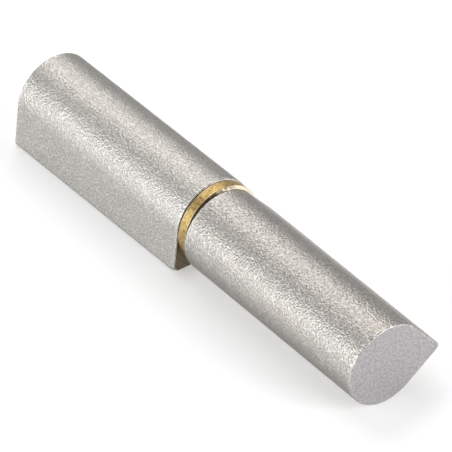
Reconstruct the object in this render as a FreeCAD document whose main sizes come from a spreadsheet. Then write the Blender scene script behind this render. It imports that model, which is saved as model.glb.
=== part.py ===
import FreeCAD, Part
import os
import Sketcher
from FreeCAD import Placement, Rotation, Vector
from math import acos, cos, pi, radians, sin, tan

# Weld on barrel hinge: two leaves of drop section bar, a pressed pin and a brass bearing washer.
#
# X runs along the hinge axis, from the pin leaf to the socket leaf, and Z is up. The hinge lies on one
# weld face of the pin leaf, and the origin is the middle of that face. Everything is in millimetres.
#
# The drop section is a round back with two flats that leave it as tangents and meet in one corner, the
# edge that is welded. Each leaf is drawn with its bearing face at its own origin and its corner towards
# +Y, and its placement then rolls it about the hinge axis to where it lies.

SHEET = "sizes"

# Driving dimensions, one cell each in the sheet. Lengths in millimetres, angles in degrees.
DRIVING_SIZES = {
    # Drop section bar
    "barrel_radius": 8.2,          # the round back, a 16.4 mm barrel
    "corner_reach": 12.12,         # from the round's centre to where the flats would meet
    "corner_rounding": 0.8,        # radius of the weld corner
    "leaf_length": 47.3,
    "edge_break": 0.25,            # chamfer round both sawn ends
    # Pin, pressed into the pin leaf
    "pin_radius": 4.5,
    "pin_pressed_length": 22.0,    # held in the pin leaf
    "pin_bearing_length": 28.0,    # turns in the socket leaf
    "pin_chamfer": 0.8,
    "press_interference": 0.01,    # the pin leaf's bore is this much under the pin, in radius
    # Bearing washer
    "washer_thickness": 2.6,
    "washer_inset": 0.1,           # rim of the washer inside the barrel's round
    "washer_clearance": 0.1,       # hole over pin, in radius
    "washer_back_chamfer": 0.15,   # round the rim, on the pin leaf's side
    "washer_front_chamfer": 0.5,   # round the rim, on the socket leaf's side
    "washer_gap": 0.08,            # between the pin leaf and the washer
    "socket_gap": 0.46,            # between the washer and the socket leaf, which lies slid off it
    # Blind bores
    "socket_clearance": 0.06,      # socket bore over pin, in radius
    "bore_relief": 1.5,            # full bore past each end of the pin
    "drill_point_angle": 118.0,
    "mouth_chamfer": 0.5,
    "bore_drift_out": 0.81,        # the socket's bore sits this much nearer the weld corner
    "bore_drift_up": 0.08,         # and this much nearer the upper flat, so that the round rests level
    "bore_lean": 0.8,              # and the bar runs off from the bore by this angle, away from the corner
    "bore_lead": 1.0,              # each bore's cut starts this far outside the bearing face
    # How the socket leaf lies
    "socket_corner_angle": -6.0,   # its weld corner, measured up from level on the +Y side
}

# Sizes that follow from the sheet, as expressions over its cells.
CORNER_CENTRE = "(sizes.corner_reach * (1 - sizes.corner_rounding / sizes.barrel_radius))"
FLAT_WIDTH = ("(sqrt(sizes.corner_reach ^ 2 - sizes.barrel_radius ^ 2)"
              " * (1 - sizes.corner_rounding / sizes.barrel_radius))")
FLAT_TURN = "acos(sizes.barrel_radius / sizes.corner_reach)"
BEARING_SPACE = "(sizes.washer_gap + sizes.washer_thickness + sizes.socket_gap)"
PIN_LENGTH = "(sizes.pin_pressed_length + sizes.pin_bearing_length + " + BEARING_SPACE + ")"
DRILL_CONE = " / tan(sizes.drill_point_angle / 2 * 1 deg)"

ROOT_POINT = (-1, 1)               # a sketch's origin
X_AXIS, Y_AXIS = -1, -2            # a sketch's axes
START, END, CENTRE = 1, 2, 3       # the named points of a sketch line or arc


def add_sizes(doc):
    sheet = doc.addObject("Spreadsheet::Sheet", SHEET)
    for row, (name, value) in enumerate(DRIVING_SIZES.items(), start=1):
        sheet.set("A%d" % row, name)
        sheet.set("B%d" % row, str(value))
        sheet.setAlias("B%d" % row, name)
    doc.recompute()
    return sheet


def add_body(doc, name):
    body = doc.addObject("PartDesign::Body", name)
    body.Label = name
    return body


def add_sketch(body, name, plane_role):
    plane = [f for f in body.Origin.OriginFeatures if f.Role == plane_role][0]
    sketch = body.newObject("Sketcher::SketchObject", name)
    sketch.AttachmentSupport = (plane, [""])
    sketch.MapMode = "FlatFace"
    return sketch


def dimension(sketch, name, kind, places, value, expression):
    index = sketch.addConstraint(Sketcher.Constraint(kind, *places, value))
    sketch.renameConstraint(index, name)
    sketch.setExpression("Constraints." + name, expression)


# The drop section, drawn about the centre of its round with the weld corner towards +x.
def draw_drop_section(sketch, sizes):
    radius = sizes.barrel_radius
    rounding = sizes.corner_rounding
    corner_x = sizes.corner_reach * (1 - rounding / radius)
    flat_turn = acos(radius / sizes.corner_reach)

    def arc(centre_x, arc_radius, first, last):
        circle = Part.Circle(Vector(centre_x, 0, 0), Vector(0, 0, 1), arc_radius)
        return sketch.addGeometry(Part.ArcOfCircle(circle, first, last), False)

    def point(centre_x, arc_radius, angle):
        return Vector(centre_x + arc_radius * cos(angle), arc_radius * sin(angle), 0)

    def flat(start, end):
        return sketch.addGeometry(Part.LineSegment(start, end), False)

    back = arc(0, radius, flat_turn, 2 * pi - flat_turn)
    lower_flat = flat(point(0, radius, -flat_turn), point(corner_x, rounding, -flat_turn))
    corner = arc(corner_x, rounding, -flat_turn, flat_turn)
    upper_flat = flat(point(corner_x, rounding, flat_turn), point(0, radius, flat_turn))

    outline = [back, lower_flat, corner, upper_flat]
    for this, following in zip(outline, outline[1:] + outline[:1]):
        sketch.addConstraint(Sketcher.Constraint("Tangent", this, END, following, START))
    sketch.addConstraint(Sketcher.Constraint("Coincident", back, CENTRE, *ROOT_POINT))
    sketch.addConstraint(Sketcher.Constraint("PointOnObject", corner, CENTRE, X_AXIS))
    dimension(sketch, "barrel_radius", "Radius", [back], radius, "sizes.barrel_radius")
    dimension(sketch, "corner_rounding", "Radius", [corner], rounding, "sizes.corner_rounding")
    dimension(sketch, "corner_centre", "DistanceX", [*ROOT_POINT, corner, CENTRE], corner_x,
              CORNER_CENTRE)


# A closed outline of straight lines over the axis, for a turned piece or a bore. Each corner is
# (along the axis, its expression, radius, its expression), with no expression for a value of zero.
# The outline runs to +x, or to -x where side is -1.
def draw_turned_outline(sketch, corners, side=1):
    count = len(corners)
    points = [Vector(side * x, radius, 0) for x, _, radius, _ in corners]
    for start, end in zip(points, points[1:] + points[:1]):
        sketch.addGeometry(Part.LineSegment(start, end), False)
    for i in range(count):
        sketch.addConstraint(Sketcher.Constraint("Coincident", i, END, (i + 1) % count, START))
    for i, (x, x_expression, radius, radius_expression) in enumerate(corners):
        corner = (i, START)
        if x_expression is None:
            sketch.addConstraint(Sketcher.Constraint("PointOnObject", *corner, Y_AXIS))
        else:
            span = [*ROOT_POINT, *corner] if side > 0 else [*corner, *ROOT_POINT]
            dimension(sketch, "along_%d" % i, "DistanceX", span, x, x_expression)
        if radius_expression is None:
            sketch.addConstraint(Sketcher.Constraint("PointOnObject", *corner, X_AXIS))
        else:
            dimension(sketch, "radius_%d" % i, "DistanceY", [*ROOT_POINT, *corner], radius,
                      radius_expression)


def turn_about_axis(body, kind, name, sketch):
    feature = body.newObject(kind, name)
    feature.Profile = sketch
    feature.ReferenceAxis = (sketch, ["H_Axis"])
    feature.Angle = 360
    return feature


# A length of drop section bar that runs from x = 0 to +x, or to -x where side is -1, with the edges of
# both sawn ends broken. It returns the section's sketch.
def add_bar(body, sizes, side):
    section = add_sketch(body, body.Name + "_section", "YZ_Plane")
    draw_drop_section(section, sizes)
    bar = body.newObject("PartDesign::Pad", body.Name + "_bar")
    bar.Profile = section
    bar.Reversed = side < 0
    bar.setExpression("Length", "sizes.leaf_length")
    body.Document.recompute()

    rims = []
    for number, edge in enumerate(bar.Shape.Edges, start=1):
        if edge.BoundBox.XLength < sizes.leaf_length / 2:
            rims.append("Edge%d" % number)
    edge_break = body.newObject("PartDesign::Chamfer", body.Name + "_edge_break")
    edge_break.Base = (bar, rims)
    edge_break.setExpression("Size", "sizes.edge_break")
    body.Document.recompute()
    return section


# A blind bore into the bearing face along the hinge axis, with a chamfered mouth and a drill point.
def add_blind_bore(body, sizes, side, radius, radius_expression, depth, depth_expression):
    cone = radius / tan(radians(sizes.drill_point_angle / 2))
    cone_expression = "(" + radius_expression + ")" + DRILL_CONE
    chamfer = sizes.mouth_chamfer
    mouth = radius_expression + " + sizes.mouth_chamfer"
    profile = add_sketch(body, body.Name + "_bore_profile", "XZ_Plane")
    draw_turned_outline(profile, [
        (-sizes.bore_lead, "-sizes.bore_lead", 0, None),
        (-sizes.bore_lead, "-sizes.bore_lead", radius + chamfer, mouth),
        (0, None, radius + chamfer, mouth),
        (chamfer, "sizes.mouth_chamfer", radius, radius_expression),
        (depth, depth_expression, radius, radius_expression),
        (depth + cone, depth_expression + " + " + cone_expression, 0, None),
    ], side)
    before = body.Shape.Volume
    turn_about_axis(body, "PartDesign::Groove", body.Name + "_bore", profile)
    body.Document.recompute()
    removed = before - body.Shape.Volume
    drilled = pi * radius ** 2 * depth
    if removed < drilled:
        raise RuntimeError("%s: the bore took out %.1f mm3 of %.1f" % (body.Label, removed, drilled))


def make_pin_leaf(doc, sizes):
    body = add_body(doc, "pin_leaf")
    side = -1
    add_bar(body, sizes, side)
    add_blind_bore(
        body, sizes, side,
        sizes.pin_radius - sizes.press_interference,
        "sizes.pin_radius - sizes.press_interference",
        sizes.pin_pressed_length + sizes.bore_relief,
        "sizes.pin_pressed_length + sizes.bore_relief")
    # Rolled so that its lower flat faces straight down.
    roll_about_axis(body, "270 deg - " + FLAT_TURN)
    place_on_axis(body, "sizes.leaf_length / 2")
    return body


def make_hinge_pin(doc, sizes):
    body = add_body(doc, "hinge_pin")
    bearing_space = sizes.washer_gap + sizes.washer_thickness + sizes.socket_gap
    length = sizes.pin_pressed_length + sizes.pin_bearing_length + bearing_space
    radius = sizes.pin_radius
    chamfer = sizes.pin_chamfer
    profile = add_sketch(body, "hinge_pin_profile", "XZ_Plane")
    end_radius = "sizes.pin_radius - sizes.pin_chamfer"
    draw_turned_outline(profile, [
        (0, None, 0, None),
        (0, None, radius - chamfer, end_radius),
        (chamfer, "sizes.pin_chamfer", radius, "sizes.pin_radius"),
        (length - chamfer, PIN_LENGTH + " - sizes.pin_chamfer", radius, "sizes.pin_radius"),
        (length, PIN_LENGTH, radius - chamfer, end_radius),
        (length, PIN_LENGTH, 0, None),
    ])
    turn_about_axis(body, "PartDesign::Revolution", "hinge_pin_turned", profile)
    place_on_axis(body, "sizes.leaf_length / 2 - sizes.pin_pressed_length")
    return body


def make_brass_washer(doc, sizes):
    body = add_body(doc, "brass_washer")
    hole = sizes.pin_radius + sizes.washer_clearance
    rim = sizes.barrel_radius - sizes.washer_inset
    thickness = sizes.washer_thickness
    back = sizes.washer_back_chamfer
    front = sizes.washer_front_chamfer
    hole_expression = "sizes.pin_radius + sizes.washer_clearance"
    rim_expression = "sizes.barrel_radius - sizes.washer_inset"
    back_edge = rim_expression + " - sizes.washer_back_chamfer"
    front_edge = rim_expression + " - sizes.washer_front_chamfer"
    front_start = "sizes.washer_thickness - sizes.washer_front_chamfer"
    profile = add_sketch(body, "brass_washer_profile", "XZ_Plane")
    draw_turned_outline(profile, [
        (0, None, hole, hole_expression),
        (0, None, rim - back, back_edge),
        (back, "sizes.washer_back_chamfer", rim, rim_expression),
        (thickness - front, front_start, rim, rim_expression),
        (thickness, "sizes.washer_thickness", rim - front, front_edge),
        (thickness, "sizes.washer_thickness", hole, hole_expression),
    ])
    turn_about_axis(body, "PartDesign::Revolution", "brass_washer_turned", profile)
    place_on_axis(body, "sizes.leaf_length / 2 + sizes.washer_gap")
    return body


def make_socket_leaf(doc, sizes):
    body = add_body(doc, "socket_leaf")
    side = 1
    section = add_bar(body, sizes, side)
    # The bore runs along the body's own X axis, so its drift moves the bar's section the other way, and
    # the section turns about its own Y axis for the lean.
    section.AttachmentOffset = Placement(Vector(0, 0, 0), Rotation(Vector(0, 1, 0), 1))
    section.setExpression("AttachmentOffset.Base.x", "-sizes.bore_drift_out")
    section.setExpression("AttachmentOffset.Base.y", "-sizes.bore_drift_up")
    section.setExpression("AttachmentOffset.Rotation.Angle", "-sizes.bore_lean * 1 deg")
    doc.recompute()
    add_blind_bore(
        body, sizes, side,
        sizes.pin_radius + sizes.socket_clearance,
        "sizes.pin_radius + sizes.socket_clearance",
        sizes.pin_bearing_length + sizes.bore_relief,
        "sizes.pin_bearing_length + sizes.bore_relief")
    roll_about_axis(body, "sizes.socket_corner_angle * 1 deg")
    place_on_axis(body, "sizes.leaf_length / 2 + " + BEARING_SPACE)
    return body


def roll_about_axis(body, angle_expression):
    body.Placement = Placement(Vector(0, 0, 0), Rotation(Vector(1, 0, 0), 1))
    body.setExpression("Placement.Rotation.Angle", angle_expression)


# The hinge axis runs a barrel's radius above the pin leaf's lower flat, over that flat's round edge.
def place_on_axis(body, along_expression):
    body.setExpression("Placement.Base.x", along_expression)
    body.setExpression("Placement.Base.y", FLAT_WIDTH + " / 2")
    body.setExpression("Placement.Base.z", "sizes.barrel_radius")


def check(doc, pieces):
    for thing in doc.Objects:
        if "Invalid" in thing.State or "Error" in thing.State:
            raise RuntimeError("%s failed: %s" % (thing.Label, thing.State))
    for piece in pieces:
        shape = piece.Shape
        if shape.isNull() or not shape.isValid() or len(shape.Solids) != 1:
            raise RuntimeError("%s is not one sound solid" % piece.Label)


def main():
    doc = FreeCAD.newDocument("weld_on_barrel_hinge")
    sizes = add_sizes(doc)
    pieces = [
        make_pin_leaf(doc, sizes),
        make_hinge_pin(doc, sizes),
        make_brass_washer(doc, sizes),
        make_socket_leaf(doc, sizes),
    ]
    doc.recompute()
    check(doc, pieces)
    os.makedirs("parts", exist_ok=True)
    for piece in pieces:
        piece.Shape.exportStep(os.path.join("parts", piece.Label + ".step"))
        box = piece.Shape.BoundBox
        print("%-14s %9.2f mm3  x %7.2f %7.2f  y %6.2f %6.2f  z %6.2f %6.2f" % (
            piece.Label, piece.Shape.Volume, box.XMin, box.XMax, box.YMin, box.YMax, box.ZMin, box.ZMax))


main()
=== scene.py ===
from math import acos, cos, pi, radians, sin, tan

import bpy
import numpy as np
from mathutils import Matrix, Vector


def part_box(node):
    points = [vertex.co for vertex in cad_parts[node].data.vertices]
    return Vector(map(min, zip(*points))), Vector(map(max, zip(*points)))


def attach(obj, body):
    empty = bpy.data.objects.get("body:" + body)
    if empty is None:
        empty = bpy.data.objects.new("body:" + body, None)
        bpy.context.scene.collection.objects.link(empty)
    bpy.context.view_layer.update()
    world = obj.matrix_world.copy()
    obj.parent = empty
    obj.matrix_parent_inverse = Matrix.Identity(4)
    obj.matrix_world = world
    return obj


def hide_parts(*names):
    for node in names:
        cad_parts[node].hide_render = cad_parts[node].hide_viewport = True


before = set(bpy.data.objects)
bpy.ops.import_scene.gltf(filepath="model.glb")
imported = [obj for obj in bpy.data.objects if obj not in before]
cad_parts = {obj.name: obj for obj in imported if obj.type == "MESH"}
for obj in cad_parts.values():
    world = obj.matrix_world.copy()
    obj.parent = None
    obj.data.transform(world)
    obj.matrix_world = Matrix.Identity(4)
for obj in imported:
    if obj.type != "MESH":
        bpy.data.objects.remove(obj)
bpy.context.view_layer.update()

# Weld on barrel hinge: two blasted leaves of drop section bar with a brass bearing washer between them,
# lying on a pale floor. X runs along the hinge axis and Z is up. Everything is in metres.

MM = 0.001

# Places and sizes, read from the frame.
PIN_LEAF_LOW, PIN_LEAF_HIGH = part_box("pin_leaf")
PIN_LOW, PIN_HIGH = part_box("hinge_pin")
WASHER_LOW, WASHER_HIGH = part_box("brass_washer")
SOCKET_LEAF_LOW, SOCKET_LEAF_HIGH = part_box("socket_leaf")
LEAF_LENGTH = PIN_LEAF_HIGH.x - PIN_LEAF_LOW.x
BARREL_RADIUS = (PIN_LEAF_HIGH.z - PIN_LEAF_LOW.z) / 2
PIN_RADIUS = (PIN_HIGH.z - PIN_LOW.z) / 2
WASHER_RADIUS = (WASHER_HIGH.z - WASHER_LOW.z) / 2
HINGE_AXIS = np.array([(PIN_LOW.y + PIN_HIGH.y) / 2, (PIN_LOW.z + PIN_HIGH.z) / 2])

# The drop section: a round back, and two flats that leave it as tangents and meet in the weld corner.
# FLAT_TURN is the angle at the round's middle from the corner to where a flat leaves the round.
CORNER_REACH = 12.12 * MM
CORNER_ROUNDING = 0.8 * MM
FLAT_TURN = acos(BARREL_RADIUS / CORNER_REACH)
EDGE_BREAK = 0.25 * MM

# Which way each leaf's weld corner points round the hinge axis: the pin leaf lies on one flat. The socket
# leaf's bar leans a little off the axis.
PIN_LEAF_CORNER = 1.5 * pi - FLAT_TURN
SOCKET_LEAF_CORNER = radians(-6.0)
SOCKET_LEAN = radians(0.8)

# Tumbling has worn the weld corner rounder where it runs out at the bearing face.
WORN_ROUNDING = 1.5 * MM
CORNER_WEAR_LENGTH = 1.6 * MM

# Bores. SOCKET_BORE_DRIFT is how far the socket's lies off the middle of its round, towards the weld corner
# and across, and SOCKET_BEARING is the X of the middle of the socket leaf's bearing face.
PIN_PRESSED = PIN_LEAF_HIGH.x - PIN_LOW.x
PRESS_INTERFERENCE = 0.01 * MM
SOCKET_CLEARANCE = 0.06 * MM
BORE_RELIEF = 1.5 * MM
MOUTH_CHAMFER = 0.5 * MM
DRILL_POINT = radians(118)
SOCKET_BORE_DRIFT = np.array([0.81, 0.08]) * MM
SOCKET_BEARING = SOCKET_LEAF_LOW.x + (BARREL_RADIUS - EDGE_BREAK) * sin(SOCKET_LEAN)

# The washer, with faint grooves from the lathe round its rim, and the pin.
WASHER_HOLE = PIN_RADIUS + 0.1 * MM
WASHER_HOLE_BREAK = 0.05 * MM
WASHER_BACK_CHAMFER = 0.15 * MM
WASHER_FRONT_CHAMFER = 0.5 * MM
RIM_GROOVE_DEPTH = 0.004 * MM
RIM_GROOVE_TURN = 2.4
PIN_CHAMFER = 0.8 * MM

# How finely the pieces are meshed. EDGE_TURNS go round a broken edge, and the other lists give shares of
# the way over a face, a chamfer, a hole or a drill point. Rings lie close together at corners, which keeps
# the shading crisp there.
BAR_POINTS_ROUND = 300
BAR_ROWS = 258
EDGE_TURNS = [radians(turn) for turn in (0, 12, 30, 50, 70, 90)]
SAWN_FACE_RINGS = (0.02, 0.1, 0.25, 0.4, 0.55, 0.7, 0.82, 0.91, 0.96, 0.985)
BEARING_FACE_RINGS = (0.03, 0.1, 0.25, 0.5, 0.75, 0.9, 0.97, 1.0)
MOUTH_CHAMFER_RINGS = (0.3, 0.94, 1.0)
BORE_ROWS = 8
DRILL_POINT_RINGS = (0.02, 0.3, 0.6, 0.9, 0.97)
WASHER_POINTS_ROUND = 256
WASHER_FACE_RINGS = (0.0, 0.02, 0.25, 0.5, 0.75, 0.98)
WASHER_CHAMFER_RINGS = (0.0, 0.06, 0.5, 0.94, 1.0)
WASHER_RIM_ROWS = 48
WASHER_HOLE_RINGS = (0.98, 0.7, 0.4)
PIN_POINTS_ROUND = 192
PIN_FACE_RINGS = (0.05, 0.5, 0.94, 0.985)
PIN_ROWS = 60
PIN_ROWS_START = PIN_CHAMFER + 0.3 * MM
CRISP_STEP = 0.05 * MM

# The pin's rings over a chamfer: how far in from the end, how far out from the end face's rim, and how
# near an edge each one counts as.
PIN_CHAMFER_RINGS = (
    (0.01 * MM, 0.0, 0.6),
    (0.05 * MM, 0.05 * MM, 0.4),
    (PIN_CHAMFER - 0.06 * MM, PIN_CHAMFER - 0.06 * MM, 0.4),
    (PIN_CHAMFER, PIN_CHAMFER - 0.015 * MM, 0.8),
    (PIN_CHAMFER + 0.06 * MM, PIN_CHAMFER, 0.4))

# The relief that the blasting leaves in the bars: fine grain on a slow swell. TOP is where each is cut off
# above its middle and RANGE how far down it goes from there, in standard deviations.
GRAIN_DEPTH = 0.0012 * MM
GRAIN_WAVELENGTH = 0.45 * MM
GRAIN_TOP, GRAIN_RANGE = 2, 5
SWELL_DEPTH = 0.004 * MM
SWELL_WAVELENGTH = 4 * MM
SWELL_TOP, SWELL_RANGE = 1.5, 4

# A leaf's materials, in their order, and how far round a broken edge the two end finishes start.
BLASTED, SAWN, BORED, FACED = 0, 1, 2, 3
SAWN_FROM = radians(80)
FACED_FROM = radians(60)

# How far from their ends the leaves are worn, and how far from its back edge the washer's rim is.
LEAF_WEAR_WIDTH = 0.6 * MM
RIM_WEAR_WIDTH = 0.25 * MM


def turned(points, angle):
    turn = np.array([[cos(angle), sin(angle)], [-sin(angle), cos(angle)]])
    return points @ turn


# Evenly spaced points round the drop section, and the way out at each, with the weld corner at an angle.
def drop_outline(count, corner_angle, rounding):
    corner_centre = CORNER_REACH * (1 - rounding / BARREL_RADIUS)
    flat_width = corner_centre * sin(FLAT_TURN)
    back = BARREL_RADIUS * 2 * (pi - FLAT_TURN)
    nose = rounding * 2 * FLAT_TURN
    around = back + nose + 2 * flat_width
    points, outward = [], []
    for i in range(count):
        way = around * i / count
        if way < back:
            angle = FLAT_TURN + way / BARREL_RADIUS
            out = (cos(angle), sin(angle))
            place = (BARREL_RADIUS * out[0], BARREL_RADIUS * out[1])
        elif way < back + flat_width:
            along = way - back
            out = (cos(FLAT_TURN), -sin(FLAT_TURN))
            place = (BARREL_RADIUS * out[0] - along * out[1], BARREL_RADIUS * out[1] + along * out[0])
        elif way < back + flat_width + nose:
            angle = (way - back - flat_width) / rounding - FLAT_TURN
            out = (cos(angle), sin(angle))
            place = (corner_centre + rounding * out[0], rounding * out[1])
        else:
            along = around - way
            out = (cos(FLAT_TURN), sin(FLAT_TURN))
            place = (BARREL_RADIUS * out[0] + along * out[1], BARREL_RADIUS * out[1] - along * out[0])
        points.append(place)
        outward.append(out)
    return turned(np.array(points), corner_angle), turned(np.array(outward), corner_angle)


# A height field of one main wavelength that repeats round the bar, with a standard deviation of 1.
def rough_field(row_step, column_step, wavelength, seed):
    noise = np.random.default_rng(seed).standard_normal((BAR_ROWS, BAR_POINTS_ROUND))
    along = np.fft.fftfreq(BAR_ROWS, row_step)[:, None]
    around = np.fft.rfftfreq(BAR_POINTS_ROUND, column_step)[None, :]
    waves = np.hypot(along, around) * wavelength
    field = np.fft.irfft2(np.fft.rfft2(noise) * waves * np.exp(-waves ** 2), s=noise.shape)
    return field / field.std()


# How deep each row and point of a bar lies under its true outline.
def blasted_relief(row_step, column_step, seed):
    grain = rough_field(row_step, column_step, GRAIN_WAVELENGTH, seed)
    swell = rough_field(row_step, column_step, SWELL_WAVELENGTH, seed + 1)
    grain_depth = GRAIN_DEPTH * np.clip(GRAIN_TOP - grain, 0, GRAIN_RANGE)
    return grain_depth + SWELL_DEPTH * np.clip(SWELL_TOP - swell, 0, SWELL_RANGE)


# How far a ring on a broken edge lies in from the outline and in from the end.
def broken_edge(turn):
    return EDGE_BREAK * (1 - cos(turn)), EDGE_BREAK * (1 - sin(turn))


# A closed mesh from rings of points, each joined to the next. A piece with a hole through it closes from
# its last ring to its first, and any other has a fan at each end. Each band has its own material.
def mesh_from_rings(name, rings, band_materials, materials, edge_nearness, hole_through=False):
    count = rings.shape[1]
    points = rings.reshape(-1, 3)
    nearness = np.repeat(edge_nearness, count)
    faces, indices = [], []
    for ring, material in enumerate(band_materials):
        this, following = ring * count, (ring + 1) % len(rings) * count
        for i in range(count):
            j = (i + 1) % count
            faces.append((this + i, this + j, following + j, following + i))
        indices += [material] * count
    if not hole_through:
        first_pole, last_pole = len(points), len(points) + 1
        last = (len(rings) - 1) * count
        points = np.concatenate([points, [rings[0].mean(0), rings[-1].mean(0)]])
        nearness = np.concatenate([nearness, [0.0, 0.0]])
        for i in range(count):
            j = (i + 1) % count
            faces += [(first_pole, j, i), (last_pole, last + i, last + j)]
            indices += [band_materials[0], band_materials[-1]]
    mesh = bpy.data.meshes.new(name)
    mesh.from_pydata(points.tolist(), [], faces)
    mesh.polygons.foreach_set("material_index", indices)
    mesh.attributes.new("edge_nearness", "FLOAT", "POINT").data.foreach_set("value", nearness)
    for material in materials:
        mesh.materials.append(material)
    if mesh_volume(points, mesh) < 0:
        mesh.flip_normals()
    mesh.shade_smooth()
    piece = bpy.data.objects.new(name, mesh)
    bpy.context.collection.objects.link(piece)
    return piece


def mesh_volume(points, mesh):
    mesh.calc_loop_triangles()
    triangles = np.empty(len(mesh.loop_triangles) * 3, int)
    mesh.loop_triangles.foreach_get("vertices", triangles)
    a, b, c = points[triangles.reshape(-1, 3)].transpose(1, 0, 2)
    return np.einsum("ij,ij->", a, np.cross(b, c))


# The rings of one leaf, from the middle of its sawn face along the bar to the bottom of its bore. facing
# is +1 where the bearing face looks to +X. The bore runs along the hinge axis, and the bar leans off that
# line, away from its weld corner.
class LeafBar:
    def __init__(self, facing, bearing_x, corner_angle, round_centre, lean, seed):
        self.facing = facing
        self.bearing_x = bearing_x
        self.free_x = bearing_x - facing * LEAF_LENGTH
        self.round_centre = round_centre
        self.lean = lean
        self.to_corner = np.array([cos(corner_angle), sin(corner_angle)])
        outline, self.outward = drop_outline(BAR_POINTS_ROUND, corner_angle, CORNER_ROUNDING)
        worn_outline, _ = drop_outline(BAR_POINTS_ROUND, corner_angle, WORN_ROUNDING)
        self.outline = outline + round_centre
        self.worn_outline = worn_outline + round_centre
        self.row_step = (LEAF_LENGTH - 2 * EDGE_BREAK) / (BAR_ROWS - 1)
        column_step = np.linalg.norm(self.outline[1] - self.outline[0])
        self.relief = blasted_relief(self.row_step, column_step, seed)[:, :, None]
        self.rings, self.finishes, self.edge_nearness = [], [], []

    # Adds a ring, the finish of the band that follows it, and how near an edge it lies.
    def add_ring(self, ring, finish, edge=0.0):
        self.rings.append(ring)
        self.finishes.append(finish)
        self.edge_nearness.append(edge)

    # A ring of the bar, turned with it about the middle of its bearing face.
    def leaning(self, x, points):
        along = -self.facing * (x - self.bearing_x)
        out = (points - self.round_centre) @ self.to_corner
        shift = out * (cos(self.lean) - 1) - along * sin(self.lean)
        reach = along * cos(self.lean) + out * sin(self.lean)
        places = points + np.outer(shift, self.to_corner)
        return np.column_stack([self.bearing_x - self.facing * reach, places])

    # The outline at x. Its corner grows rounder as it nears the bearing face.
    def worn(self, x):
        share = max(0.0, 1 - abs(self.bearing_x - x) / CORNER_WEAR_LENGTH)
        return self.outline + (self.worn_outline - self.outline) * share ** 2

    def add_sawn_face(self):
        rim = self.outline - self.outward * EDGE_BREAK
        for share in SAWN_FACE_RINGS:
            points = self.round_centre + (rim - self.round_centre) * share
            self.add_ring(self.leaning(self.free_x, points), SAWN)
        for turn in EDGE_TURNS[::-1]:
            inset, along = broken_edge(turn)
            points = self.outline - self.outward * (inset + self.relief[0] * cos(turn))
            finish = SAWN if turn > SAWN_FROM else BLASTED
            self.add_ring(self.leaning(self.free_x + self.facing * along, points), finish, 1.0)

    def add_length(self):
        for row in range(1, BAR_ROWS - 1):
            x = self.free_x + self.facing * (EDGE_BREAK + row * self.row_step)
            from_end = min(row, BAR_ROWS - 1 - row) * self.row_step
            points = self.worn(x) - self.outward * self.relief[row]
            self.add_ring(self.leaning(x, points), BLASTED, max(0.0, 1 - from_end / LEAF_WEAR_WIDTH))

    # The bearing face, from its broken edge in to the bore's mouth. The mouth is cut square to the hinge
    # axis, so it meets the leaning face at its own height.
    def add_bearing_face(self, bore_radius):
        for turn in EDGE_TURNS:
            inset, along = broken_edge(turn)
            x = self.bearing_x - self.facing * along
            points = self.worn(x) - self.outward * (inset + self.relief[-1] * cos(turn))
            finish = FACED if turn > FACED_FROM else BLASTED
            self.add_ring(self.leaning(x, points), finish, 1.0)
        rim = self.leaning(self.bearing_x, self.worn(self.bearing_x) - self.outward * EDGE_BREAK)
        from_axis = rim[:, 1:] - HINGE_AXIS
        self.spokes = from_axis / np.linalg.norm(from_axis, axis=1)[:, None]
        mouth = HINGE_AXIS + self.spokes * (bore_radius + MOUTH_CHAMFER)
        height = ((mouth - self.round_centre) @ self.to_corner) * tan(self.lean)
        mouth = np.column_stack([self.bearing_x - self.facing * height, mouth])
        for share in BEARING_FACE_RINGS:
            self.add_ring(rim + (mouth - rim) * share, FACED)

    # The bore: how far down it each ring lies, and its radius.
    def add_bore(self, radius, depth):
        straight = depth - MOUTH_CHAMFER
        point_depth = radius / tan(DRILL_POINT / 2)
        steps = [(MOUTH_CHAMFER * share, radius + MOUTH_CHAMFER * (1 - share))
                 for share in MOUTH_CHAMFER_RINGS]
        steps.append((MOUTH_CHAMFER + CRISP_STEP, radius))
        steps += [(MOUTH_CHAMFER + straight * row / BORE_ROWS, radius) for row in range(1, BORE_ROWS)]
        steps += [(depth - CRISP_STEP, radius), (depth, radius)]
        steps += [(depth + point_depth * share, radius * (1 - share)) for share in DRILL_POINT_RINGS]
        for down, ring_radius in steps:
            x = np.full(len(self.spokes), self.bearing_x - self.facing * down)
            self.add_ring(np.column_stack([x, HINGE_AXIS + self.spokes * ring_radius]), BORED)


def make_leaf(name, bar, bore_radius, bore_depth, materials):
    bar.add_sawn_face()
    bar.add_length()
    bar.add_bearing_face(bore_radius)
    bar.add_bore(bore_radius, bore_depth)
    return mesh_from_rings(name, np.array(bar.rings), bar.finishes[:-1], materials, bar.edge_nearness)


# A turned piece. Its profile is a list of x, radius and edge nearness.
def make_lathe_piece(name, profile, count, material, hole_through=False):
    angles = np.linspace(0, 2 * pi, count, endpoint=False)
    around = np.column_stack([np.cos(angles), np.sin(angles)])
    rings = np.array([np.column_stack([np.full(count, x), HINGE_AXIS + around * radius])
                      for x, radius, _ in profile])
    bands = len(rings) if hole_through else len(rings) - 1
    edge_nearness = [edge for _, _, edge in profile]
    return mesh_from_rings(name, rings, [0] * bands, [material], edge_nearness, hole_through)


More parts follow.
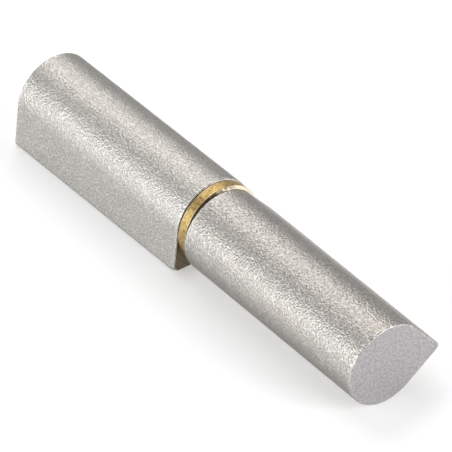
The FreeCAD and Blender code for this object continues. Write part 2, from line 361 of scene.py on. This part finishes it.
# The washer, from the back edge of its hole up its back face, over its rim and down its front face.
def washer_profile():
    left, right = WASHER_LOW.x, WASHER_HIGH.x
    back_x, front_x = left + WASHER_BACK_CHAMFER, right - WASHER_FRONT_CHAMFER

    def face(x, chamfer, shares):
        low = WASHER_HOLE + WASHER_HOLE_BREAK
        high = WASHER_RADIUS - chamfer
        return [(x, low + (high - low) * share, 0.0) for share in shares]

    def slope(face_x, rim_x, chamfer, shares):
        return [(face_x + (rim_x - face_x) * share, WASHER_RADIUS - chamfer * (1 - share), 1.0)
                for share in shares]

    profile = [(left + WASHER_HOLE_BREAK, WASHER_HOLE, 0.0)]
    profile += face(left, WASHER_BACK_CHAMFER, WASHER_FACE_RINGS)
    profile += slope(left, back_x, WASHER_BACK_CHAMFER, WASHER_CHAMFER_RINGS)
    for row in range(1, WASHER_RIM_ROWS):
        groove = RIM_GROOVE_DEPTH * (1 + sin(row * RIM_GROOVE_TURN)) / 2
        way = (front_x - back_x) * row / WASHER_RIM_ROWS
        profile.append((back_x + way, WASHER_RADIUS - groove, max(0.0, 1 - way / RIM_WEAR_WIDTH)))
    profile += slope(right, front_x, WASHER_FRONT_CHAMFER, WASHER_CHAMFER_RINGS[::-1])
    profile += face(right, WASHER_FRONT_CHAMFER, WASHER_FACE_RINGS[::-1])
    profile += [(left + (right - left) * share, WASHER_HOLE, 0.0) for share in WASHER_HOLE_RINGS]
    return profile


def pin_profile():
    left, right = PIN_LOW.x, PIN_HIGH.x

    def end(x, into):
        face = PIN_RADIUS - PIN_CHAMFER
        rings = [(x, face * share, 0.0) for share in PIN_FACE_RINGS]
        return rings + [(x + into * along, face + out, edge) for along, out, edge in PIN_CHAMFER_RINGS]

    start, stop = left + PIN_ROWS_START, right - PIN_ROWS_START
    side = [(start + (stop - start) * row / PIN_ROWS, PIN_RADIUS, 0.0) for row in range(PIN_ROWS + 1)]
    return end(left, 1) + side + end(right, -1)[::-1]


# Nodes

class NodePen:
    def __init__(self, tree):
        self.tree = tree

    def add(self, kind, **values):
        node = self.tree.nodes.new(kind)
        for name, value in values.items():
            if name in node.inputs and not hasattr(type(node), name):
                node.inputs[name].default_value = value
            else:
                setattr(node, name, value)
        return node

    # Gives a socket a number, a colour or what another node puts out.
    def give(self, socket, value):
        if isinstance(value, bpy.types.NodeSocket):
            self.tree.links.new(value, socket)
        else:
            socket.default_value = value

    def math(self, operation, first, second=None, clamp=False):
        node = self.add("ShaderNodeMath", operation=operation, use_clamp=clamp)
        self.give(node.inputs[0], first)
        if second is not None:
            self.give(node.inputs[1], second)
        return node.outputs[0]

    # Multiplies each pair, such as a value and its weight, and adds the products up.
    def sum_of_products(self, *pairs):
        total = None
        for first, second in pairs:
            product = self.math("MULTIPLY", first, second)
            total = product if total is None else self.math("ADD", total, product)
        return total

    def per_metre(self, per_mm):
        if isinstance(per_mm, bpy.types.NodeSocket):
            return self.math("MULTIPLY", per_mm, 1 / MM)
        return per_mm / MM

    def ramp(self, value, low, high, to_low=0.0, to_high=1.0):
        node = self.add("ShaderNodeMapRange")
        names = ("Value", "From Min", "From Max", "To Min", "To Max")
        for name, given in zip(names, (value, low, high, to_low, to_high)):
            self.give(node.inputs[name], given)
        return node.outputs["Result"]

    # A Mix node's sockets have the same names for each kind of data. The colours are 6 and 7, and output 2.
    def blend(self, factor, first, second):
        node = self.add("ShaderNodeMix", data_type="RGBA")
        self.give(node.inputs["Factor"], factor)
        self.give(node.inputs[6], first)
        self.give(node.inputs[7], second)
        return node.outputs[2]

    # The shaded point, in the object's own frame.
    def place(self):
        return self.add("ShaderNodeTexCoord").outputs["Object"]

    # That point's X, and how far it lies across and above the hinge axis.
    def about_axis(self):
        split = self.add("ShaderNodeSeparateXYZ")
        self.give(split.inputs[0], self.place())
        across = self.math("SUBTRACT", split.outputs["Y"], float(HINGE_AXIS[0]))
        above = self.math("SUBTRACT", split.outputs["Z"], float(HINGE_AXIS[1]))
        return split.outputs["X"], across, above

    # How near an edge of its mesh a point lies, from 0 to 1.
    def edge_nearness(self):
        return self.add("ShaderNodeAttribute", attribute_name="edge_nearness").outputs["Fac"]

    def noise(self, place, per_mm, **values):
        node = self.add("ShaderNodeTexNoise", **values)
        self.give(node.inputs["Vector"], place)
        self.give(node.inputs["Scale"], self.per_metre(per_mm))
        return node.outputs["Fac"]


# Shared effects. Each is a node group that is built once and placed in the materials with their own values.

def new_group(name, inputs, outputs):
    tree = bpy.data.node_groups.new(name, "ShaderNodeTree")
    for socket_name, default in inputs:
        socket = tree.interface.new_socket(socket_name, in_out="INPUT", socket_type="NodeSocketFloat")
        socket.default_value = default
    for socket_name in outputs:
        tree.interface.new_socket(socket_name, in_out="OUTPUT", socket_type="NodeSocketFloat")
    entry = tree.nodes.new("NodeGroupInput")
    leave = tree.nodes.new("NodeGroupOutput")
    return tree, NodePen(tree), entry.outputs, leave.inputs


# Blasted grain: the fine pits and bright facets that shot leaves on steel, under soft clouds.
def blasted_grain_group():
    tree, pen, given, out = new_group("blasted_grain", [("Pits per mm", 3.6)], ["Height", "Tone", "Cloud"])
    place = pen.place()
    fine = pen.noise(place, given["Pits per mm"], Detail=1.0, Roughness=0.5)
    pits = pen.add("ShaderNodeTexVoronoi", feature="F1")
    pen.give(pits.inputs["Vector"], place)
    pen.give(pits.inputs["Scale"], pen.math("MULTIPLY", pen.per_metre(given["Pits per mm"]), 0.8))
    height = pen.sum_of_products((fine, 0.6), (pits.outputs["Distance"], 0.55))
    pen.give(out["Height"], height)
    pen.give(out["Tone"], pen.ramp(height, 0.39, 0.83))
    pen.give(out["Cloud"], pen.ramp(pen.noise(place, 0.3, Detail=2.0), 0.35, 0.65))
    return tree


# Edge wear: broken, rubbed patches along the edges that the mesh marks.
def edge_wear_group():
    tree, pen, given, out = new_group("edge_wear", [("Patches per mm", 1.5), ("Amount", 0.5)], ["Mask"])
    patches = pen.noise(pen.place(), given["Patches per mm"], Detail=3.0)
    level = pen.math("ADD", pen.math("SUBTRACT", patches, 0.5), given["Amount"])
    pen.give(out["Mask"], pen.math("MULTIPLY", pen.edge_nearness(), pen.ramp(level, 0.3, 0.6), clamp=True))
    return tree


# Tool lines: rings left by turning, along the axis on a rim and outwards on a face.
def turning_lines_group():
    tree, pen, given, out = new_group("turning_lines", [("Lines per mm", 6.0)], ["Height", "Tone"])
    along, across, above = pen.about_axis()
    radius = pen.math("SQRT", pen.sum_of_products((across, across), (above, above)))
    way = pen.math("ADD", radius, along)
    lines = pen.add("ShaderNodeTexNoise", noise_dimensions="1D", Scale=1.0, Detail=2.0, Roughness=0.6)
    pen.give(lines.inputs["W"], pen.math("MULTIPLY", way, pen.per_metre(given["Lines per mm"])))
    pen.give(out["Height"], lines.outputs["Fac"])
    pen.give(out["Tone"], pen.ramp(lines.outputs["Fac"], 0.3, 0.7))
    return tree


# A sawn face: faint straight marks and soft mottling.
def sawn_marks_group():
    tree, pen, given, out = new_group("sawn_marks", [("Marks per mm", 5.0)], ["Height", "Mottle"])
    place = pen.place()
    stretch = pen.add("ShaderNodeMapping", Rotation=(radians(24), 0, 0), Scale=(0.15, 0.15, 1))
    pen.give(stretch.inputs["Vector"], place)
    pen.give(out["Height"], pen.noise(stretch.outputs[0], given["Marks per mm"], Detail=2.0))
    pen.give(out["Mottle"], pen.ramp(pen.noise(place, 2.2, Detail=3.0, Roughness=0.65), 0.3, 0.7))
    return tree


# Painted shade in the gaps beside the washer: a dark film on the edges that the mesh marks, on the side
# that faces away from both weld corners. Side is that side's angle round the hinge axis, in degrees.
def gap_painted_shade_group():
    tree, pen, given, out = new_group("gap_painted_shade", [("Side", 130.0), ("Amount", 0.9)], ["Mask"])
    _, across, above = pen.about_axis()
    side = pen.math("MULTIPLY", given["Side"], pi / 180)
    reach = pen.sum_of_products((across, pen.math("COSINE", side)), (above, pen.math("SINE", side)))
    spots = pen.math("SUBTRACT", pen.noise(pen.place(), 1.5, Detail=2.0), 0.5)
    level = pen.math("ADD", pen.math("DIVIDE", reach, WASHER_RADIUS), spots)
    mask = pen.math("MULTIPLY", pen.edge_nearness(), pen.ramp(level, 0.45, 0.85), clamp=True)
    pen.give(out["Mask"], pen.math("MULTIPLY", mask, given["Amount"]))
    return tree


GRAIN = blasted_grain_group()
WEAR = edge_wear_group()
TURNING = turning_lines_group()
SAWING = sawn_marks_group()
PAINTED_GAP_SHADE = gap_painted_shade_group()


# Finishes

def colour(red, green, blue):
    return (red, green, blue, 1.0)


def new_material(name):
    material = bpy.data.materials.new(name)
    material.use_nodes = True
    tree = material.node_tree
    shader = next(n for n in tree.nodes if n.type == "BSDF_PRINCIPLED")
    return material, NodePen(tree), shader.inputs


def new_metal(name):
    material, pen, shader = new_material(name)
    shader["Metallic"].default_value = 1.0
    return material, pen, shader


def place_group(pen, tree, **values):
    node = pen.tree.nodes.new("ShaderNodeGroup")
    node.node_tree = tree
    for name, value in values.items():
        node.inputs[name.replace("_", " ")].default_value = value
    return node.outputs


# Covers a colour with another where a mask is, as far as a share.
def cover(pen, mask, share, under, over):
    return pen.blend(pen.math("MULTIPLY", mask, share), under, over)


def add_bump(pen, shader, height, depth, strength=1.0):
    bump = pen.add("ShaderNodeBump", Strength=strength, Distance=depth)
    pen.give(bump.inputs["Height"], height)
    pen.give(shader["Normal"], bump.outputs[0])


def blasted_steel(name, pits_per_mm, depth, pit, facet, cloud, cloud_share, pit_roughness, facet_roughness):
    material, pen, shader = new_metal(name)
    grain = place_group(pen, GRAIN, Pits_per_mm=pits_per_mm)
    wear = place_group(pen, WEAR, Patches_per_mm=1.8, Amount=0.36)["Mask"]
    pitted = pen.blend(grain["Tone"], pit, facet)
    clouded = cover(pen, grain["Cloud"], cloud_share, pitted, cloud)
    worn = cover(pen, wear, 0.7, clouded, colour(0.82, 0.80, 0.765))
    # Painted shade: seen at a flat angle the pits hide each other, so the base colour is darkened towards
    # near black, up to where it is all glare.
    facing = pen.add("ShaderNodeLayerWeight", Blend=0.5).outputs["Facing"]
    grazing_shade = pen.math("MULTIPLY", pen.ramp(facing, 0.45, 0.80), pen.ramp(facing, 1.1, 0.9))
    pen.give(shader["Base Color"], cover(pen, grazing_shade, 0.45, worn, colour(0.05, 0.045, 0.035)))
    rough = pen.ramp(grain["Tone"], 0, 1, pit_roughness, facet_roughness)
    pen.give(shader["Roughness"], pen.math("SUBTRACT", rough, pen.math("MULTIPLY", wear, 0.1)))
    add_bump(pen, shader, grain["Height"], depth)
    return material


def sawn_steel():
    material, pen, shader = new_metal("sawn_steel")
    saw = place_group(pen, SAWING, Marks_per_mm=5.0)
    wear = place_group(pen, WEAR, Patches_per_mm=1.8, Amount=0.4)["Mask"]
    mottled = pen.blend(saw["Mottle"], colour(0.325, 0.311, 0.318), colour(0.560, 0.540, 0.549))
    pen.give(shader["Base Color"], cover(pen, wear, 0.6, mottled, colour(0.75, 0.73, 0.71)))
    pen.give(shader["Roughness"], pen.ramp(saw["Mottle"], 0, 1, 0.52, 0.44))
    add_bump(pen, shader, saw["Height"], 0.01 * MM, 0.4)
    return material


# Turned or ground steel: the roughness lies within a spread each side of its middle, line by line.
def turned_steel(name, groove, ridge, roughness, spread, lines_per_mm, depth):
    material, pen, shader = new_metal(name)
    turning = place_group(pen, TURNING, Lines_per_mm=lines_per_mm)
    wear = place_group(pen, WEAR, Patches_per_mm=1.5, Amount=0.5)["Mask"]
    lined = pen.blend(turning["Tone"], groove, ridge)
    pen.give(shader["Base Color"], cover(pen, wear, 0.4, lined, colour(1.0, 0.95, 0.8)))
    pen.give(shader["Roughness"], pen.ramp(turning["Tone"], 0, 1, roughness + spread, roughness - spread))
    add_bump(pen, shader, turning["Height"], depth, 0.6)
    return material


# Old brass: turning lines, small dark spots, rubbed edges, and painted shade in the gaps beside it on one
# side.
def tarnished_brass():
    material, pen, shader = new_metal("turned_brass")
    turning = place_group(pen, TURNING, Lines_per_mm=5.0)
    mottle = place_group(pen, SAWING, Marks_per_mm=3.0)["Mottle"]
    painted_shade = place_group(pen, PAINTED_GAP_SHADE, Side=130.0, Amount=0.9)["Mask"]
    wear = place_group(pen, WEAR, Patches_per_mm=1.0, Amount=0.75)["Mask"]
    lined = pen.blend(turning["Tone"], colour(0.41, 0.280, 0.102), colour(0.60, 0.45, 0.20))
    spotted = pen.blend(pen.ramp(mottle, 0.1, 0.7, 0.8, 0.0), lined, colour(0.16, 0.10, 0.04))
    bright = cover(pen, wear, 0.8, spotted, colour(0.95, 0.87, 0.69))
    # Painted shade: dark brown where the gaps beside the washer lie in shade, a little rougher there too.
    pen.give(shader["Base Color"], pen.blend(painted_shade, bright, colour(0.080, 0.042, 0.014)))
    dulled = pen.math("ADD", pen.ramp(turning["Tone"], 0, 1, 0.54, 0.44), pen.math("MULTIPLY", painted_shade, 0.2))
    pen.give(shader["Roughness"], pen.math("SUBTRACT", dulled, pen.math("MULTIPLY", wear, 0.2)))
    add_bump(pen, shader, turning["Height"], 0.012 * MM, 0.6)
    return material


PIN_LEAF_STEEL = blasted_steel(
    "pin_leaf_blasted_steel", pits_per_mm=3.3, depth=0.122 * MM,
    pit=colour(0.350, 0.336, 0.315), facet=colour(0.615, 0.597, 0.564),
    cloud=colour(0.45, 0.43, 0.38), cloud_share=0.15, pit_roughness=0.47, facet_roughness=0.51)
SOCKET_LEAF_STEEL = blasted_steel(
    "socket_leaf_blasted_steel", pits_per_mm=3.2, depth=0.130 * MM,
    pit=colour(0.303, 0.288, 0.268), facet=colour(0.580, 0.557, 0.523),
    cloud=colour(0.50, 0.445, 0.41), cloud_share=0.25, pit_roughness=0.46, facet_roughness=0.49)
SAWN_STEEL = sawn_steel()
# The bearing faces' dark olive colour is painted shade, for the shade that the washer and the other leaf
# throw on them.
SHADED_FACE_STEEL = turned_steel(
    "faced_steel_painted_shade", groove=colour(0.150, 0.121, 0.080), ridge=colour(0.215, 0.178, 0.122),
    roughness=0.45, spread=0.05, lines_per_mm=4, depth=0.004 * MM)
BORED_STEEL = turned_steel(
    "bored_steel", groove=colour(0.40, 0.39, 0.38), ridge=colour(0.55, 0.54, 0.52),
    roughness=0.38, spread=0.06, lines_per_mm=4, depth=0.01 * MM)
TURNED_BRASS = tarnished_brass()
GROUND_STEEL = turned_steel(
    "ground_steel", groove=colour(0.52, 0.515, 0.51), ridge=colour(0.60, 0.595, 0.59),
    roughness=0.26, spread=0.04, lines_per_mm=9, depth=0.003 * MM)


# The pieces

pin_leaf_bar = make_leaf(
    "pin_leaf_bar", LeafBar(1, PIN_LEAF_HIGH.x, PIN_LEAF_CORNER, HINGE_AXIS, lean=0.0, seed=11),
    PIN_RADIUS - PRESS_INTERFERENCE, PIN_PRESSED + BORE_RELIEF,
    [PIN_LEAF_STEEL, SAWN_STEEL, BORED_STEEL, SHADED_FACE_STEEL])
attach(pin_leaf_bar, "pin_leaf")
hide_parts("pin_leaf")

socket_round_centre = HINGE_AXIS - turned(SOCKET_BORE_DRIFT, SOCKET_LEAF_CORNER)
socket_leaf_bar = make_leaf(
    "socket_leaf_bar",
    LeafBar(-1, SOCKET_BEARING, SOCKET_LEAF_CORNER, socket_round_centre, lean=SOCKET_LEAN, seed=23),
    PIN_RADIUS + SOCKET_CLEARANCE, PIN_HIGH.x - SOCKET_BEARING + BORE_RELIEF,
    [SOCKET_LEAF_STEEL, SAWN_STEEL, BORED_STEEL, SHADED_FACE_STEEL])
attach(socket_leaf_bar, "socket_leaf")
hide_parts("socket_leaf")

bearing_washer = make_lathe_piece(
    "bearing_washer", washer_profile(), WASHER_POINTS_ROUND, TURNED_BRASS, hole_through=True)
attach(bearing_washer, "washer")
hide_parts("brass_washer")

pressed_pin = make_lathe_piece("pressed_pin", pin_profile(), PIN_POINTS_ROUND, GROUND_STEEL)
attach(pressed_pin, "pin_leaf")
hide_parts("hinge_pin")

# The CAD nodes, which the pieces above stand for, have the same finishes.
for node, finish in (("pin_leaf", PIN_LEAF_STEEL), ("socket_leaf", SOCKET_LEAF_STEEL),
                     ("brass_washer", TURNED_BRASS), ("hinge_pin", GROUND_STEEL)):
    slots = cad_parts[node].material_slots
    for slot in slots:
        slot.material = finish
    if not slots:
        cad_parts[node].data.materials.append(finish)


# The stage: a pale floor, soft lamps and a plain studio. The lamps face MIDDLE, on the hinge.

MIDDLE = Vector(((PIN_LEAF_LOW.x + SOCKET_LEAF_HIGH.x) / 2, HINGE_AXIS[0], BARREL_RADIUS))
FLOOR_REACH = 6.0
FLOOR_GLOW = 0.39

# Each softbox: the way to it from the hinge, its width, height, level and tint.
SOFTBOX_DISTANCE = 0.9
SOFTBOXES = {
    "upper_softbox": ((-0.57, 0.20, 0.80), 0.5, 0.8, 0.515, (1.0, 0.985, 0.975)),
    "side_softbox": ((-0.27, -0.92, 0.27), 0.9, 0.5, 0.735, (0.972, 1.0, 1.012)),
    "end_softbox": ((0.85, 0.40, 0.35), 0.5, 0.5, 0.70, (1.0, 1.0, 1.0))}

# The photograph's viewpoint, seen from above the socket leaf's free end.
CAMERA_PLACE = (0.679679, -0.527227, 0.667518)
CAMERA_LOOK = (-0.61057, 0.49721, -0.61643)
CAMERA_UP = (-0.49245, 0.37123, 0.7872)
CAMERA_LENS = 478.52


# 1 where a ray comes from the camera, a gloss or clear glass, and 0 where it only brings light.
def seen_rays(pen):
    path = pen.add("ShaderNodeLightPath").outputs
    seen = pen.math("MAXIMUM", path["Is Camera Ray"], path["Is Glossy Ray"])
    return pen.math("MAXIMUM", seen, path["Is Transmission Ray"])


# The floor is white to the camera and in reflections: what its own colour lacks under these lamps, it gives
# off as a plain glow, and the shadow stays.
def make_floor():
    mesh = bpy.data.meshes.new("studio_floor")
    corners = [(x * FLOOR_REACH, y * FLOOR_REACH, 0) for x, y in ((-1, -1), (1, -1), (1, 1), (-1, 1))]
    mesh.from_pydata(corners, [], [(0, 1, 2, 3)])
    floor = bpy.data.objects.new("studio_floor", mesh)
    bpy.context.collection.objects.link(floor)
    material, pen, shader = new_material("white_floor")
    shader["Base Color"].default_value = colour(0.70, 0.70, 0.70)
    shader["Roughness"].default_value = 0.9
    shader["Specular IOR Level"].default_value = 0.1
    shader["Emission Color"].default_value = colour(1, 1, 1)
    pen.give(shader["Emission Strength"], pen.math("MULTIPLY", seen_rays(pen), FLOOR_GLOW))
    mesh.materials.append(material)


# A level of 1 lights a surface that faces the lamp so that its colour renders as written.
def add_softbox(name, direction, width, height, level, tint):
    lamp = bpy.data.lights.new(name, "AREA")
    lamp.shape = "RECTANGLE"
    lamp.size = width
    lamp.size_y = height
    lamp.energy = level * (pi * SOFTBOX_DISTANCE) ** 2
    lamp.color = tint
    way = Vector(direction).normalized()
    across = way.cross(Vector((1, 0, 0))).normalized()
    along = across.cross(way)
    stand = bpy.data.objects.new(name, lamp)
    stand.location = MIDDLE + way * SOFTBOX_DISTANCE
    stand.rotation_euler = Matrix((along, across, way)).transposed().to_euler()
    bpy.context.collection.objects.link(stand)


# The room is a grey that grows paler away from the camera, with a bright panel behind the hinge and a pale
# backdrop low down.
def make_room():
    world = bpy.data.worlds.new("studio")
    world.use_nodes = True
    pen = NodePen(world.node_tree)
    background = next(n for n in world.node_tree.nodes if n.type == "BACKGROUND")
    split = pen.add("ShaderNodeSeparateXYZ")
    pen.give(split.inputs[0], pen.add("ShaderNodeTexCoord").outputs["Generated"])
    x, y, z = split.outputs
    grey = pen.ramp(pen.sum_of_products((x, -1.0), (y, 0.3)), -0.9, 0.9, 0.14, 0.36)
    panel = pen.ramp(pen.sum_of_products((x, 0.35), (y, 0.9), (z, 0.25)), 0.86, 0.96, 0.0, 0.9)
    backdrop = pen.math("MULTIPLY", pen.ramp(z, 0.4, 0.0), pen.ramp(y, 0.2, 0.7, 0.0, 0.25))
    pen.give(background.inputs["Color"], pen.math("ADD", pen.math("ADD", grey, panel), backdrop))
    background.inputs["Strength"].default_value = 1.0
    bpy.context.scene.world = world


def place_camera():
    camera = bpy.data.cameras.new("camera")
    camera.sensor_fit = "HORIZONTAL"
    camera.sensor_width = 36.0
    camera.lens = CAMERA_LENS
    camera.clip_start = 0.01
    camera.clip_end = 20.0
    look = Vector(CAMERA_LOOK).normalized()
    right = look.cross(Vector(CAMERA_UP)).normalized()
    stand = bpy.data.objects.new("camera", camera)
    stand.location = CAMERA_PLACE
    stand.rotation_euler = Matrix((right, right.cross(look), -look)).transposed().to_euler()
    bpy.context.collection.objects.link(stand)
    bpy.context.scene.camera = stand


make_floor()
make_room()
for name, settings in SOFTBOXES.items():
    add_softbox(name, *settings)
place_camera()
bpy.context.scene.view_settings.view_transform = "Standard"
